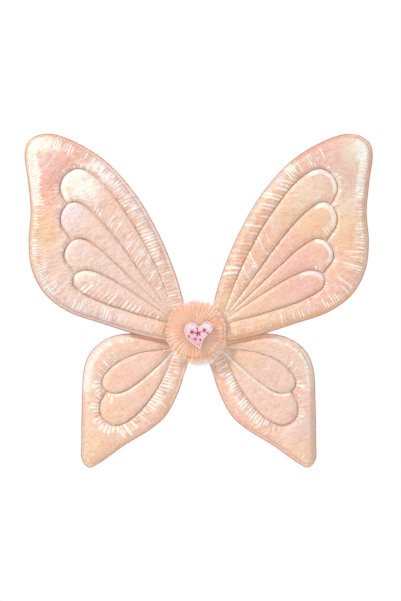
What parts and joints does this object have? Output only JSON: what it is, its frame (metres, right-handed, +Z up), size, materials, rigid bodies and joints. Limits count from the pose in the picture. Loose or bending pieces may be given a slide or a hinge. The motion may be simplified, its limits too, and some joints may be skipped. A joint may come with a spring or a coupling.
{
  "type": "costume fairy wings",
  "caption": "Padded, quilted satin fairy wings on bendable wire, with a gathered tulle rosette, a heart badge and elastic arm loops.",
  "frame": {"origin": "centre of the back pad's rear face, where the wings rest on the wearer's back", "axes": "+Z up; +Y out of the back pad's rear face, towards the wearer; +X along the wing span, towards the wearer's right-hand wings as they are worn"},
  "size_m": [0.5216, 0.083, 0.5004],
  "materials": {
    "iridescent_satin": "glossy iridescent satin, peach turning to pink, gold and pearl",
    "lining_satin": "plain peach satin",
    "wadding": "matt polyester wadding",
    "wire": "bendable steel wire",
    "elastic": "woven cream elastic",
    "thread": "raspberry embroidery thread",
    "felt": "cream felt",
    "plastic": "semi-clear moulded plastic",
    "pale_tulle": "pale translucent tulle",
    "peach_tulle": "peach translucent tulle",
    "binding": "cream-pink satin binding",
    "badge_satin": "lilac-pink satin with fine glitter"
  },
  "bodies": {
    "centre": {"left_upper_wing_root": "iridescent_satin", "left_lower_wing_root": "iridescent_satin", "right_upper_wing_root": "iridescent_satin", "right_lower_wing_root": "iridescent_satin", "left_upper_strap_tab": "elastic", "left_upper_bar_tack": "thread", "left_lower_strap_tab": "elastic", "left_lower_bar_tack": "thread", "right_upper_strap_tab": "elastic", "right_upper_bar_tack": "thread", "right_lower_strap_tab": "elastic", "right_lower_bar_tack": "thread", "back_pad": "felt", "stiffener_plate": "plastic", "spine_wire": "wire", "yoke_pad": "wadding", "rosette_under_tulle": "pale_tulle", "rosette_gathered_tulle": "peach_tulle", "badge_button": "plastic", "heart_backing": "felt", "heart_border": "binding", "heart_face": "badge_satin", "heart_star": "thread"},
    "left_wings": {"left_upper_wing_front_skin": "iridescent_satin", "left_upper_wing_back_skin": "lining_satin", "left_upper_wing_wadding": "wadding", "left_upper_wing_wire": "wire", "left_lower_wing_front_skin": "iridescent_satin", "left_lower_wing_back_skin": "lining_satin", "left_lower_wing_wadding": "wadding", "left_lower_wing_wire": "wire"},
    "left_strap": {"left_strap_loop": "elastic"},
    "right_wings": {"right_upper_wing_front_skin": "iridescent_satin", "right_upper_wing_back_skin": "lining_satin", "right_upper_wing_wadding": "wadding", "right_upper_wing_wire": "wire", "right_lower_wing_front_skin": "iridescent_satin", "right_lower_wing_back_skin": "lining_satin", "right_lower_wing_wadding": "wadding", "right_lower_wing_wire": "wire"},
    "right_strap": {"right_strap_loop": "elastic"}
  },
  "joints": [
    {"name": "left_wing_fold", "type": "hinge", "parent": "centre", "child": "left_wings", "pos_m": [-0.0465, -0.0175, 0], "axis": [0, 0, 1], "range_deg": [-20, 50]},
    {"name": "right_wing_fold", "type": "hinge", "parent": "centre", "child": "right_wings", "pos_m": [0.0465, -0.0175, 0], "axis": [0, 0, -1], "range_deg": [-20, 50]},
    {"name": "left_strap_swing", "type": "hinge", "parent": "centre", "child": "left_strap", "pos_m": [-0.033, -0.0042, 0], "axis": [0, 0, -1], "range_deg": [-5, 60]},
    {"name": "right_strap_swing", "type": "hinge", "parent": "centre", "child": "right_strap", "pos_m": [0.033, -0.0042, 0], "axis": [0, 0, 1], "range_deg": [-5, 60]}
  ]
}
